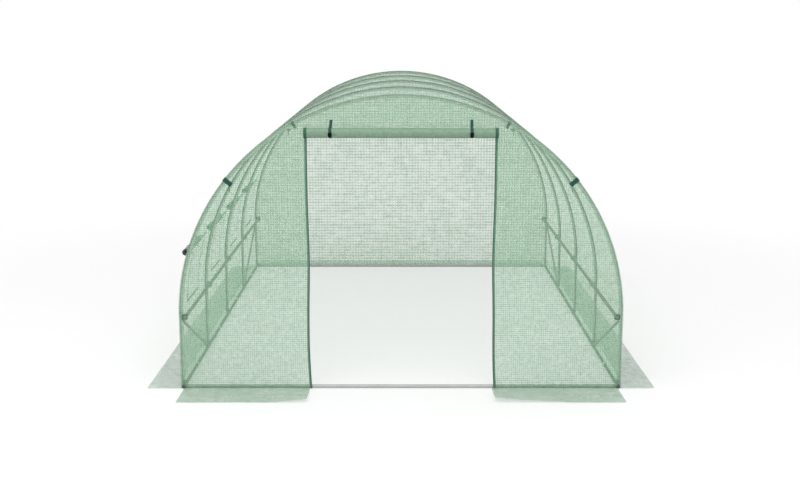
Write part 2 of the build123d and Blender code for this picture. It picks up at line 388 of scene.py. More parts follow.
def weave_scrim(tree, given):
    """Where the threads are, how light or dark the sheet is, and its relief."""
    cells = scaled(tree, given["Place"], given["Threads"])
    axes = put(tree, "SeparateXYZ", {0: cells}).outputs
    first_line, first_slub = draw_threads(tree, axes, 0, given["Slub"], given["First"])
    second_line, second_slub = draw_threads(tree, axes, 1, given["Slub"], given["Second"])
    thread = maths(tree, "MAXIMUM", first_line, second_line)
    crossing = maths(tree, "MULTIPLY", first_line, second_line)
    uneven = maths(tree, "SUBTRACT", maths(tree, "ADD", first_slub, second_slub), 1.0)
    return {
        "Thread": thread,
        "Tone": maths(tree, "MULTIPLY_ADD", uneven, 1.6, 0.5),
        "Height": maths(tree, "MULTIPLY_ADD", crossing, 0.5, thread),
    }


scrim_weave = build_group(
    "scrim_weave", weave_scrim,
    Place="Vector", Threads="Float", Slub="Float", First="Float", Second="Float",
)


def weave_place(tree):
    """Where on its flat cut a point is."""
    return put(tree, "UVMap", uv_map="weave")


def sheet_material(
    name, film, thread, covers, threads, glow, contrast=1.0, dust=None, weights=(1.0, 1.0), slub=0.4
):
    """A see-through woven sheet. Covers says how much of the light film and thread stop, for one
    of a sheet's two faces, and contrast how uneven they are. Dust holds the heights between which
    it gathers and how much more it covers at the top. Weights are how strongly the threads of the
    two directions show, and slub how soon a thread changes its thickness."""
    material, tree = new_material(name)
    weave = put(tree, "Group", {
        "Place": weave_place(tree),
        "Threads": threads,
        "Slub": slub,
        "First": weights[0],
        "Second": weights[1],
    }, node_tree=scrim_weave).outputs
    plain = blend(tree, weave["Thread"], film, thread)
    brightness = maths(tree, "MULTIPLY_ADD", weave["Tone"], -0.2 * contrast, 1.0 + 0.1 * contrast)
    colour = scaled(tree, plain, brightness)
    solid = maths(tree, "MULTIPLY_ADD", weave["Thread"], covers[1] - covers[0], covers[0])
    drift = maths(tree, "MULTIPLY_ADD", weave["Tone"], 0.5 * contrast, 1.0 - 0.25 * contrast)
    if dust:
        height = put(tree, "SeparateXYZ", {0: object_place(tree)}).outputs[2]
        drift = maths(tree, "MULTIPLY", drift, ease(tree, height, dust[0], dust[1], 1.0, dust[2]))
    cover = put(tree, "Math", {0: solid, 1: drift}, operation="MULTIPLY", use_clamp=True)
    normal = relief(tree, weave["Height"], 0.0008, 0.6)
    face = put(tree, "BsdfPrincipled", {"Base Color": colour, "Roughness": 0.42, "Normal": normal})
    back = put(tree, "BsdfTranslucent", {"Color": colour, "Normal": normal})
    cloth = put(tree, "MixShader", {0: glow, 1: face, 2: back})
    shown = put(tree, "MixShader", {0: cover, 1: put(tree, "BsdfTransparent"), 2: cloth})
    put(tree, "OutputMaterial", {"Surface": shown})
    return material


def lay_out_weave(cut):
    """The weave lies straight on a flat cut, in metres."""
    layers = cut.loops.layers.uv
    weave = layers.get("weave") or layers.new("weave")
    for face in cut.faces:
        for loop in face.loops:
            loop[weave].uv = loop.vert.co.xy


def cut_sheet(width, length, across, along):
    """A flat cut of sheet round the origin."""
    cut = bmesh.new()
    bmesh.ops.create_grid(cut, x_segments=across, y_segments=along, size=0.5)
    bmesh.ops.scale(cut, vec=(width, length, 1.0), verts=cut.verts)
    lay_out_weave(cut)
    return cut


def cut_opening(cut, low, high):
    """A straight-edged opening in a flat cut."""
    for axis, way in enumerate((Vector((1.0, 0.0, 0.0)), Vector((0.0, 1.0, 0.0)))):
        for place in (low[axis], high[axis]):
            everything = cut.verts[:] + cut.edges[:] + cut.faces[:]
            bmesh.ops.bisect_plane(cut, geom=everything, dist=1e-5, plane_co=way * place, plane_no=way)
    middles = [(face, face.calc_center_median()) for face in cut.faces]
    inside = [face for face, at in middles if low[0] < at.x < high[0] and low[1] < at.y < high[1]]
    bmesh.ops.delete(cut, geom=inside, context="FACES")


def bend_sheet(cut, place, thickness):
    """A flat cut is laid where it goes. There it gets its thickness, half to each side, and crisp
    cut edges."""
    for vert in cut.verts:
        vert.co = place(vert.co.x, vert.co.y)
    cut.normal_update()
    shifts = [(vert, vert.normal * thickness / 2) for vert in cut.verts]
    for vert, shift in shifts:
        vert.co += shift
    bmesh.ops.solidify(cut, geom=cut.faces[:], thickness=thickness)
    bmesh.ops.recalc_face_normals(cut, faces=cut.faces[:])
    for edge in cut.edges:
        edge.smooth = len(edge.link_faces) == 2 and edge.calc_face_angle() < radians(50)
    return cut


def finish_piece(name, shape, material, slot, *nodes):
    """A bmesh becomes a piece of the greenhouse, in place of the solids that it stands for."""
    data = bpy.data.meshes.new(name)
    for face in shape.faces:
        face.smooth = True
    shape.to_mesh(data)
    shape.free()
    data.materials.append(material)
    piece = add_object(name, data)
    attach(piece, "root")
    if nodes:
        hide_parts(*nodes)
    return piece


def waver(x, y, z):
    """A random number, 0 on average, that changes smoothly from place to place."""
    return noise.noise(Vector((x, y, z)))


def on_cover(across, along, inward):
    """A point on the cover: across is measured over the arch from the ridge."""
    turn = max(-quarter, min(quarter, across)) / cover_outside
    drop = max(0.0, abs(across) - quarter)
    radius = cover_outside - inward
    return Vector((radius * sin(turn), along, leg_top + radius * cos(turn) - drop))


def over_the_hoops(across, along):
    """The cover hangs between the hoops, more at the crown, with shallow creases."""
    step = min(max((along - hoop_lines[0]) / bay, 0.0), len(hoop_lines) - 1.0)
    between = 4 * (step % 1.0) * (1.0 - step % 1.0)
    high = max(0.0, cos(across / cover_half * pi / 2))
    held = min(1.0, (cover_half - abs(across)) / 0.25)
    wide = waver(across * 1.7, along * 6.0, 0.3)
    narrow = waver(across * 5.0 + along * 3.0, along * 2.0, 4.1)
    sag = (side_sag + (crown_sag - side_sag) * high) * between * held
    crease = crease_depth * (wide + 0.5 * narrow) * between
    return on_cover(across, along, cover_thick / 2 + max(0.0, sag + crease))


def up_the_side(height):
    """How far over the arch from the ridge a height on the side wall is."""
    return cover_outside * acos((height - leg_top) / cover_outside)


tunnel_cut = cut_sheet(2 * cover_half, 2 * cover_end, 150, 120)
for middle in bay_middles:
    cut_opening(
        tunnel_cut,
        (-up_the_side(window_low), middle - window_half),
        (-up_the_side(window_high), middle + window_half),
    )
bend_sheet(tunnel_cut, over_the_hoops, cover_thick)
tunnel_sheet = sheet_material(
    "tunnel_sheet", film_colour, thread_colour, (0.10, 0.26), scrim_threads, 0.5, 0.5,
    tunnel_dust, (1.3, 0.6),
)
tunnel_cover = finish_piece(
    "tunnel_cover", tunnel_cut, tunnel_sheet, "tunnel_sheet",
    "side_panel_left", "side_panel_right", "roof_left", "roof_right",
)

# --- End walls ---
# Each end is one piece of the same sheet, sewn into the end of the cover. The front wall has the
# doorway, whose edges pull a little to one side at the ground. The back wall is plain.

wall_thick = 0.0012
back_threads = 34.5
# Painted light: the back wall gets a lighter, greyer copy of the film, as a wall lit from behind.
painted_lit_back_film = (0.52, 0.665, 0.545)
back_low, back_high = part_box("back_wall")
lintel_low, lintel_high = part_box("front_wall_top")
wall_radius = back_high.x
back_y = (back_low.y + back_high.y) / 2
front_y = (lintel_low.y + lintel_high.y) / 2
door_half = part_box("front_wall_right")[0].x
door_top = lintel_low.z
edge_pull = 0.013
pull_height = 0.4
edge_bow = 0.009
bow_height = 0.9
ripple_depth = 0.005


def cut_end_wall():
    """A flat cut of end wall, in columns that stop at the arch."""
    cut = cut_sheet(2.0, 2.0, 110, 56)
    for vert in cut.verts:
        turn = vert.co.x * pi / 2
        top = leg_top + wall_radius * cos(turn)
        vert.co = Vector((wall_radius * sin(turn), top * (vert.co.y + 1.0) / 2, 0.0))
    lay_out_weave(cut)
    return cut


def door_pull(height, side):
    """How far a doorway edge strays: both lean one way at the ground and bow in at hand height."""
    lean = edge_pull * max(0.0, 1.0 - height / pull_height) ** 2
    return lean - side * edge_bow * exp(-((height - bow_height) / 0.3) ** 2)


def wall_ripple(x, z, end=0.0):
    """Shallow ripples of a wall that is held by its rim."""
    rim = min(1.0, (wall_radius - hypot(x, max(0.0, z - leg_top))) / 0.3, z / 0.15)
    return max(0.0, rim) * ripple_depth * waver(1.6 * x, 2.5 + 1.1 * z, 7.0 + end)


def on_front_wall(x, z):
    lean = door_pull(z, 1.0 if x > 0 else -1.0) * exp(-((abs(x) - door_half) / 0.12) ** 2)
    return Vector((x + lean, front_y + wall_ripple(x, z), z))


def on_back_wall(x, z):
    return Vector((x, back_y + wall_ripple(x, z, 5.0), z))


end_sheet = sheet_material(
    "end_sheet", film_colour, thread_colour, (0.22, 0.37), scrim_threads, 0.5, 0.4, weights=(0.95, 1.15)
)
back_sheet = sheet_material(
    "back_sheet", painted_lit_back_film, painted_lit_back_film, (0.24, 0.52), back_threads, 0.5, 0.35, None, (0.72, 1.2), 0.27
)
front_cut = cut_end_wall()
cut_opening(front_cut, (-door_half, -1.0), (door_half, door_top))
front_wall = finish_piece(
    "front_wall", bend_sheet(front_cut, on_front_wall, wall_thick), end_sheet, "end_sheet",
    "front_wall_left", "front_wall_right", "front_wall_top",
)
back_cut = bend_sheet(cut_end_wall(), on_back_wall, wall_thick)
back_wall = finish_piece("back_wall_sheet", back_cut, back_sheet, "end_sheet", "back_wall")

# --- Skirts ---
# Strips of the same sheet lie on the ground all round, to be weighed down. They are a little
# wavy, and the front ones curl up beside the doorway.

skirt_thick = 0.0015
skirt_rest = 0.0015
skirt_step = 0.03
wave_height = 0.004
skirt_film = (0.43, 0.58, 0.455)
# Painted light and sheen: the side and back skirts get a lighter copy of the skirt film, as a sheet
# looks at a grazing angle.
painted_sheen_skirt_film = (0.54, 0.635, 0.565)
skirt_covers = (0.27, 0.56)
skirt_sheet = sheet_material(
    "skirt_sheet", skirt_film, skirt_film, skirt_covers, scrim_threads, 0.2, 0.9
)
painted_sheen_skirt = sheet_material(
    "painted_sheen_skirt", painted_sheen_skirt_film, painted_sheen_skirt_film, skirt_covers, scrim_threads, 0.2, 1.3
)


def lay_skirt(node, material, curl_x=0.0, curl=0.0, reach=0.3):
    """A skirt over the ground that its solid covers, curled up round one outer corner."""
    low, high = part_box(node)
    width, length = high.x - low.x, high.y - low.y
    middle = (low + high) / 2
    flat = cut_sheet(width, length, ceil(width / skirt_step), ceil(length / skirt_step))

    def place(across, along):
        x, y = middle.x + across, middle.y + along
        if width < length:
            out = (abs(x) - min(abs(low.x), abs(high.x))) / width
        else:
            out = (abs(y) - min(abs(low.y), abs(high.y))) / length
        out = max(0.0, out)
        wave = 0.5 + 0.5 * waver(x * 2.3, y * 2.3, 1.7)
        ruck = max(0.0, waver(x * 7.0, y * 7.0, 5.2))
        near = max(0.0, 1.0 - abs(x - curl_x) / reach)
        lift = out * wave_height * (wave + ruck) + curl * out ** 1.5 * near ** 1.6
        return Vector((x, y, skirt_rest + lift))

    bend_sheet(flat, place, skirt_thick)
    piece = finish_piece(f"{node}_sheet", flat, material, "skirt_sheet", node)


# The side and back skirts, with their painted light and sheen.
for node in ("skirt_side_left", "skirt_side_right", "skirt_back"):
    lay_skirt(node, painted_sheen_skirt)
lay_skirt("skirt_front_left", skirt_sheet, -door_half, 0.024, 0.3)
lay_skirt("skirt_front_right", skirt_sheet, door_half, 0.03, 0.55)

# --- Rail hems and clips ---
# Along each side rail the cover's hem is turned in over the rail's outer shoulder, between the
# hoops. It is crumpled, and one pale clip in the middle of each bay snaps over it and the rail.

hem_thick = 0.001
hem_gap = 0.035
# Painted light: the hem is the cover's own green sheet, painted almost white where the sky lights it.
painted_lit_hem_colour = (0.97, 1.0, 0.98)
painted_lit_hem_thread = (0.93, 0.98, 0.94)
rail_low, rail_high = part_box("base_rail_right")
rail_radius = (rail_high.z - rail_low.z) / 2
rail_middle = rail_high.x - rail_radius
hem_sheet = sheet_material("hem_sheet", painted_lit_hem_colour, painted_lit_hem_thread, (0.85, 0.95), scrim_threads, 0.5, 0.5)
hem_insets = (0.0030, 0.0045, 0.0070, 0.0100, 0.0140)
hem_heights = (0.062, 0.050, 0.040, 0.033, 0.0275)
hem_line = [Vector((cover_outside - x, 0.0, z)) for x, z in zip(hem_insets, hem_heights)]


def along_path(points, distance):
    """The point at a distance along a line of straight runs."""
    for start, end in zip(points, points[1:]):
        run = (end - start).length
        if distance <= run or end is points[-1]:
            return start + (end - start) * (distance / run)
        distance -= run


def path_length(points):
    return sum((end - start).length for start, end in zip(points, points[1:]))


def join_shapes(shapes):
    """Several bmeshes in one."""
    whole = bmesh.new()
    for shape in shapes:
        data = bpy.data.meshes.new("part")
        shape.to_mesh(data)
        shape.free()
        whole.from_mesh(data)
        bpy.data.meshes.remove(data)
    return whole


def make_hem(side, middle):
    """One bay's hem: gathered at the hoops and under the clip, crumpled between."""
    tall = path_length(hem_line)
    long = bay - 2 * hem_gap

    def place(across, along):
        down = across + tall / 2
        point = along_path(hem_line, min(down, tall - 1e-6))
        end = 1.0 - abs(along) / (long / 2)
        pinch = min(1.0, end / 0.07) * min(1.0, max(abs(along) - 0.004, 0.0) / 0.035)
        loose = max(0.0, sin(pi * down / tall)) ** 0.7
        crush = waver(down * 18.0, (middle + along) * 16.0, 3.0 * side)
        fold = waver(down * 60.0, (middle + along) * 45.0, 9.0)
        push = loose * pinch * (0.0045 * crush + 0.0022 * fold)
        rise = 0.012 * (pinch - 1.0) * max(0.0, 1.0 - down / (0.6 * tall))
        x = side * (point.x - abs(push) - 0.001 * pinch)
        return Vector((x, middle + along, point.z + 0.6 * push + rise))

    return bend_sheet(cut_sheet(tall, long, 10, 90), place, hem_thick)


for side, word in ((-1, "left"), (1, "right")):
    shape = join_shapes([make_hem(side, middle) for middle in bay_middles])
    hem = finish_piece(f"rail_hem_{word}_sheet", shape, hem_sheet, "hem_sheet", f"rail_hem_{word}")

clip_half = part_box("hem_clips")[1].y - bay_middles[-1]
clip_inner = rail_radius + 0.0035
clip_thick = 0.0022
clip_lip = 0.004
clip_start, clip_turn = radians(-38), radians(178)
clip_plastic = plastic_material("clip_plastic", (0.55, 0.68, 0.58), 0.4)


def make_clip(side, middle):
    """A snap-on clip: half a ring with turned-out lips and a narrower waist."""

    def place(across, along):
        share = across + 0.5
        angle = clip_start + clip_turn * share
        flare = clip_lip * (max(0.0, 0.12 - share) + max(0.0, share - 0.88)) / 0.12
        radius = clip_inner + clip_thick / 2 + flare
        waist = 1.0 - 0.12 * cos(pi * along / clip_half)
        x = rail_middle - radius * cos(angle)
        return Vector((side * x, middle + along * waist, rail_radius + radius * sin(angle)))

    return bend_sheet(cut_sheet(1.0, 2 * clip_half, 26, 6), place, clip_thick)


clips = join_shapes([make_clip(side, middle) for side in (-1, 1) for middle in bay_middles])
finish_piece("hem_clip_rings", clips, clip_plastic, "clip_plastic", "hem_clips")

# --- Doorway bindings and zips ---
# Each edge of the doorway is bound with dark green tape, and half of a coil zip runs along its
# inner side. They follow the wall's edge, which leans a little at the ground.

zip_low, zip_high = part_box("door_zip_right")
tape_width = zip_high.x - zip_low.x
tape_height = zip_high.z - zip_low.z
tape_thick = 0.0016
tape_step = 0.02
tape_colour = (0.085, 0.19, 0.125)
coil_width = 0.006
coil_pitch = 0.006
coil_thick = 0.0012
coil_colour = (0.035, 0.06, 0.045)


def rib_tape(tree, given):
    """Woven tape: ribs across it, a fine twill, a slightly faded nap, and painted shade between the
    ribs.
    """
    axes = put(tree, "SeparateXYZ", {0: given["Place"]}).outputs
    rib = maths(tree, "PINGPONG", maths(tree, "MULTIPLY", axes[1], given["Ribs"]), 0.5)
    slant = maths(tree, "MULTIPLY", maths(tree, "ADD", axes[0], axes[1]), given["Ribs"])
    twill = maths(tree, "PINGPONG", maths(tree, "MULTIPLY", slant, 1.7), 0.5)
    fade = mottle(tree, given["Place"], 25.0, 3.0)
    nap = mottle(tree, given["Place"], 700.0, 1.0)
    # Painted shade in the grooves between the ribs, mixed with the real faded patches.
    shade = maths(tree, "MULTIPLY_ADD", maths(tree, "ADD", rib, fade), 0.5, 0.2)
    return {
        "Color": blend(tree, shade, given["Dark"], given["Light"]),
        "Roughness": maths(tree, "MULTIPLY_ADD", nap, 0.25, given["Smoothest"]),
        "Height": maths(tree, "MULTIPLY_ADD", maths(tree, "ADD", twill, nap), 0.5, rib),
    }


webbing_finish = build_group(
    "webbing_finish", rib_tape,
    Place="Vector", Ribs="Float", Dark="Color", Light="Color", Smoothest="Float",
)


def webbing_material(name, colour, ribs=400.0, roughness=0.6):
    """Woven tape of one colour, lighter and darker where faded, with painted shade between its ribs."""
    dark = [0.6 * channel for channel in colour]
    light = [min(1.0, 1.45 * channel + 0.01) for channel in colour]
    values = {"Ribs": ribs, "Dark": dark, "Light": light, "Smoothest": roughness - 0.1}
    plain = {"Specular IOR Level": 0.2, "Sheen Weight": 0.05}
    return surface_material(name, webbing_finish, values, 0.0006, 0.7, plain, weave_place)


def edge_tape(side, width, offset, thick, proud, tooth_height=0.0):
    """A strip up one edge of the doorway, with ripples across it where it is a zip."""
    steps = 2 * ceil(tape_height / coil_pitch) if tooth_height else ceil(tape_height / tape_step)

    def place(across, along):
        z = zip_low.z + tape_height / 2 + along
        x = side * (door_half + offset) + across
        wave = 0.0012 * waver(side * 4.0, 0.0, 3.2 * z)
        tooth = tooth_height * abs(sin(pi * along / coil_pitch))
        round_back = 0.0006 * cos(pi * across / width)
        y = front_y - wall_thick / 2 - thick / 2 - proud - round_back - tooth + wall_ripple(x, z)
        return Vector((x + door_pull(z, side) + wave, y, z))

    return bend_sheet(cut_sheet(width, tape_height, 4, steps), place, thick)


door_binding = webbing_material("door_binding", tape_colour)
zip_plastic = plastic_material("zip_plastic", coil_colour, 0.4)
for side, word in ((-1, "left"), (1, "right")):
    tape = edge_tape(side, tape_width, tape_width / 2, tape_thick, 0.0)
    node = f"door_zip_{word}"
    finish_piece(f"door_tape_{word}", tape, door_binding, "door_binding", node)
    coil_offset, coil_proud = coil_width / 2 - 0.002, tape_thick + 0.0004
    coil = edge_tape(side, coil_width, coil_offset, coil_thick, coil_proud, 0.0012)
    finish_piece(f"door_coil_{word}", coil, zip_plastic, "door_binding")

# --- Rolled-up door ---
# The door is one sheet, rolled up outwards into a loose roll under its top seam. Its bound side
# edges make a dark green end to the roll, a little fuller than the rest.

roll_low, roll_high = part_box("door_roll")
roll_radius = (roll_high.z - roll_low.z) / 2
roll_reach = roll_high.x
roll_middle = Vector((0.0, roll_low.y + roll_radius, roll_low.z + roll_radius - 0.0025))
roll_core = 0.009
roll_thick = 0.0008
door_length = 1.72
end_width = 0.021
end_step = 0.004
end_thick = 0.0013
end_fuller = 0.0012
wall_room = 0.0042
strap_low, strap_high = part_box("door_straps")
strap_width = 0.02
strap_thick = 0.0018
strap_places = [strap_low.x + strap_width / 2, strap_high.x - strap_width / 2]
across_door = (roll_middle, Vector((0, 1, 0)), Vector((0, 0, 1)), Vector((1, 0, 0)))
rolled_covers = (0.6, 0.85)
door_light = (0.34, 0.50, 0.37)
door_dark = (0.235, 0.37, 0.26)
end_colour = (0.022, 0.085, 0.05)


def roll_up(length, core, outer, ways, limits, steps, thick, pinches=(), fuller=0.0, seam=0.0):
    """A sheet in a spiral about its middle line. Ways holds the middle, the way to the wall, the
    way up and the way along. The last turn goes up the wall to its seam."""
    middle, to_wall, up, side = ways
    low, high = limits
    growth = (outer ** 2 - core ** 2) / (2 * length)
    turn_end = (outer - core) / growth

    def place(across, along):
        run = along + (length + seam) / 2
        far = (low + high) / 2 + across
        angle = (-core + sqrt(core ** 2 + 2 * growth * min(run, length))) / growth
        phase = angle - turn_end
        squeeze = sum(exp(-((far - pinch) / 0.022) ** 2) for pinch in pinches)
        ridges = waver(far * 2.2, 2.6 * cos(phase), 2.6 * sin(phase))
        folds = waver(far * 9.0, 7.0 * cos(phase), 7.0 * sin(phase) + 3.0)
        layers = waver(far * 0.8, 6.5 * cos(phase), 6.5 * sin(phase) + 9.0)
        crumple = 0.05 * (0.5 * ridges + 0.4 * folds + 0.5 * layers)
        radius = (core + growth * angle) * (1.0 - 0.1 * squeeze + crumple) + fuller
        inward = min(radius * cos(phase), outer - wall_room)
        lift = max(0.0, run - length)
        droop = 0.0025 * waver(far * 1.3, 0.4, 8.0)
        return middle + side * far + to_wall * inward + up * (radius * sin(phase) + lift + droop)

    cut = cut_sheet(high - low, length + seam, max(2, ceil((high - low) / steps[0])), steps[1])
    return bend_sheet(cut, place, thick)


def roll_with_ends(reach, length, core, outer, ways, steps, thick, pinches, seam=0.0):
    """A rolled-up sheet, and the two bound edges that make its ends."""
    inner = reach - end_width
    roll = roll_up(length, core, outer, ways, (-inner, inner), steps, thick, pinches, 0.0, seam)
    ends = [
        roll_up(length, core, outer, ways, limits, (end_step, steps[1]), end_thick, (), end_fuller, seam)
        for limits in ((-reach, -inner), (inner, reach))
    ]
    return roll, ends


door_sheet = sheet_material("door_sheet", door_light, door_dark, rolled_covers, scrim_threads, 0.2, 0.8)
end_binding = webbing_material("end_binding", end_colour)
roll, roll_ends = roll_with_ends(
    roll_reach, door_length, roll_core, roll_radius, across_door, (0.025, 330), roll_thick, strap_places
)
door_roll = finish_piece("door_rolled_up", roll, door_sheet, "door_sheet", "door_roll")
door_roll_ends = finish_piece("door_roll_ends", join_shapes(roll_ends), end_binding, "door_binding")

# --- Door straps and buckles ---
# Two dark green straps are sewn to the wall above the door, go round the roll and close with
# black side-release buckles low on its front.

strap_radius = 0.92 * roll_radius + 0.0022
strap_webbing = webbing_material("strap_webbing", (0.007, 0.058, 0.040), 550.0)
buckle_size = Vector((0.024, 0.007, 0.032))
buckle_tilt = radians(16)
buckle_corner = 0.005
buckle_rim = 0.0025
bar_size = (0.015, 0.0022, 0.0025)
bar_rise = 0.0045
buckle_plastic = plastic_material("buckle_plastic", (0.002, 0.0025, 0.002), 0.6, 0.15)


def round_the_roll(ways, radius, top, bottom, start, end, steps=40):
    """The line of a strap: from the wall above a roll, round its front, to the wall below."""
    middle, to_wall, up = ways[:3]
    line = [top]
    for n in range(steps + 1):
        angle = start + (end - start) * n / steps
        line.append(middle + to_wall * radius * cos(angle) + up * radius * sin(angle))
    return line + [bottom]


def lay_strap(line, sideways, width, thick, narrow=0.0, lean=0.0):
    """A flat strap along a line, narrower and shifted sideways at its start."""
    length = path_length(line)

    def place(across, along):
        run = min(along + length / 2, length - 1e-6)
        start = max(0.0, 1.0 - run / 0.06)
        shift = across * (1.0 - narrow * start) + lean * start
        return along_path(line, run) + sideways * shift

    cut = cut_sheet(width, length, 6, max(8, ceil(length / 0.005)))
    return bend_sheet(cut, place, thick)


straps = []
for x, lean in zip(strap_places, (0.006, 0.001)):
    ways = (Vector((x, roll_middle.y, roll_middle.z)),) + across_door[1:]
    wall_y = front_y - wall_thick / 2 - strap_thick
    top = Vector((x, wall_y, strap_high.z - 0.001))
    bottom = Vector((x, wall_y, roll_low.z - 0.006))
    line = round_the_roll(ways, strap_radius, top, bottom, radians(68), radians(282))
    straps.append(lay_strap(line, across_door[3], strap_width, strap_thick, 0.1, lean))
finish_piece("door_strap_loops", join_shapes(straps), strap_webbing, "strap_webbing", "door_straps")


def round_edges(shape, edges, radius, segments=2):
    """Edges of a shape are rounded."""
    bmesh.ops.bevel(
        shape, geom=edges, offset=radius, segments=segments, profile=0.5, affect="EDGES", material=-1
    )


def make_buckle():
    """A side-release buckle, face to -Y: a rounded shell, a recess, and two bars across it."""
    shape = bmesh.new()
    shape.loops.layers.uv.new("weave")
    bmesh.ops.create_cube(shape, size=1.0)
    bmesh.ops.scale(shape, vec=buckle_size, verts=shape.verts)
    corners = [edge for edge in shape.edges if abs(edge.verts[0].co.y - edge.verts[1].co.y) > 1e-6]
    round_edges(shape, corners, buckle_corner, 4)
    front = [face for face in shape.faces if face.normal.y < -0.9]
    ring = bmesh.ops.inset_region(shape, faces=front, thickness=buckle_rim, depth=0.0)["faces"]
    middle = [face for face in shape.faces if face.normal.y < -0.9 and face not in ring]
    bmesh.ops.inset_region(shape, faces=middle, thickness=0.0012, depth=-0.002)
    sharp = [edge for edge in shape.edges if edge.calc_face_angle(0) > radians(40)]
    round_edges(shape, sharp, 0.0007)
    for height in (-bar_rise, bar_rise):
        bar = bmesh.ops.create_cube(shape, size=1.0)["verts"]
        bmesh.ops.scale(shape, vec=bar_size, verts=bar)
        bmesh.ops.translate(shape, vec=(0.0, -buckle_size.y / 2, height), verts=bar)
        round_edges(shape, [edge for edge in shape.edges if edge.verts[0] in bar], 0.0006)
    return shape


buckles = []
distance = strap_radius + strap_thick / 2 + buckle_size.y / 2
for x in strap_places:
    buckle = make_buckle()
    centre = Vector((x, -distance * cos(buckle_tilt), -distance * sin(buckle_tilt)))
    centre += Vector((0.0, roll_middle.y, roll_middle.z))
    turned = Matrix.Translation(centre) @ Matrix.Rotation(buckle_tilt, 4, "X")
    bmesh.ops.transform(buckle, matrix=turned, verts=buckle.verts)
    buckles.append(buckle)
buckle_shells = join_shapes(buckles)
finish_piece("door_buckle_shells", buckle_shells, buckle_plastic, "buckle_plastic", "door_buckles")

# --- Windows ---
# Four openings in the left side are closed with fine insect net, bound round with tape, and have
# two hook-and-loop pads on the sill, where the flap is closed.

net_threads = 500.0
net_lap = 0.008
net_thick = 0.0006
net_light = (0.42, 0.56, 0.45)
net_dark = (0.38, 0.51, 0.41)
binding_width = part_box("window_borders")[1].y - net_high.y
binding_thick = 0.0012
window_span = up_the_side(window_low) - up_the_side(window_high)
window_across = -(up_the_side(window_low) + up_the_side(window_high)) / 2
sill = -up_the_side(window_low - binding_width / 2)
pad_length, pad_width, pad_offset, pad_thick = 0.105, 0.015, 0.105, 0.0018
window_net = sheet_material("window_net", net_light, net_dark, (0.10, 0.24), net_threads, 0.5, 0.4)
window_binding = webbing_material("window_binding", (0.62, 0.74, 0.65))
pad_cloth = webbing_material("pad_cloth", (0.21, 0.31, 0.235), 900.0, 0.8)


def on_side(across_middle, along_middle, outward):
    """A bend that lays a flat patch on the cover, some way out from the cover's face."""
    def place(across, along):
        over, down = across_middle + across, along_middle + along
        sheet = over_the_hoops(over, down)
        height = leg_top if abs(over) < quarter else on_cover(over, down, 0.0).z
        return sheet + (sheet - Vector((0.0, down, height))).normalized() * outward
    return place


nets, borders, pads = [], [], []
for n, middle in enumerate(bay_middles):
    net = cut_sheet(window_span + 2 * net_lap, 2 * (window_half + net_lap), 14, 14)
    bend_sheet(net, on_side(window_across, middle, -0.0012), net_thick)
    nets.append(finish_piece(f"window_net_{n + 1}", net, window_net, "window_net", "window_nets"))
    border = cut_sheet(window_span + 2 * binding_width, 2 * (window_half + binding_width), 16, 16)
    cut_opening(border, (-window_span / 2, -window_half), (window_span / 2, window_half))
    borders.append(bend_sheet(border, on_side(window_across, middle, 0.0013), binding_thick))
    for offset in (-pad_offset, pad_offset):
        pad = cut_sheet(pad_width, pad_length, 3, 10)
        pads.append(bend_sheet(pad, on_side(sill, middle + offset, 0.0029), pad_thick))
window_borders = finish_piece(
    "window_bindings", join_shapes(borders), window_binding, "window_binding", "window_borders"
)
window_pads = finish_piece("window_pads", join_shapes(pads), pad_cloth, "window_binding")

# --- Window flaps and their ties ---
# Each window's flap is rolled up outwards under its top seam, and two dark green tapes tie it.
# The flap's bound edges make the dark ends of the roll, and one layer of it hangs over the roll.

flap_low, flap_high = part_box("window_rolls")
flap_radius = 0.022
flap_length = 0.44
flap_core = 0.006
flap_thick = 0.0009
flap_seam = 0.006
flap_hang = 0.017
flap_light = (0.335, 0.365, 0.345)
flap_dark = (0.235, 0.265, 0.245)
flap_height = flap_low.z + flap_radius - 0.006
flap_reach = flap_high.y - bay_middles[-1]
flap_lean = asin((flap_height - leg_top) / (cover_outside + flap_radius - 0.002))
flap_distance = cover_outside + flap_radius - 0.0005 + flap_hang
strip_top, strip_foot = up_the_side(window_high + 0.004), up_the_side(flap_height)
tie_width = 0.018
tie_thick = 0.0016
tie_offset = 0.13
tie_rise = 0.058
tie_drop = 0.028
tie_radius = 0.92 * flap_radius + 0.002
tie_webbing = webbing_material("tie_webbing", (0.045, 0.12, 0.075), 550.0)
flap_binding = webbing_material("flap_binding", (0.09, 0.105, 0.093))
flap_sheet = sheet_material("flap_sheet", flap_light, flap_dark, rolled_covers, scrim_threads, 0.2, 0.8)


def hanging_strip(middle):
    """The one layer of a flap between its seam over the window and its roll."""
    tall = strip_foot - strip_top

    def place(across, along):
        over = across - (strip_foot + strip_top) / 2
        slack = 0.002 + flap_hang * max(0.0, 0.5 - across / tall) ** 2
        return on_side(over, middle + along, slack)(0.0, 0.0)

    return bend_sheet(cut_sheet(tall, 2 * flap_reach, 8, 24), place, flap_thick)


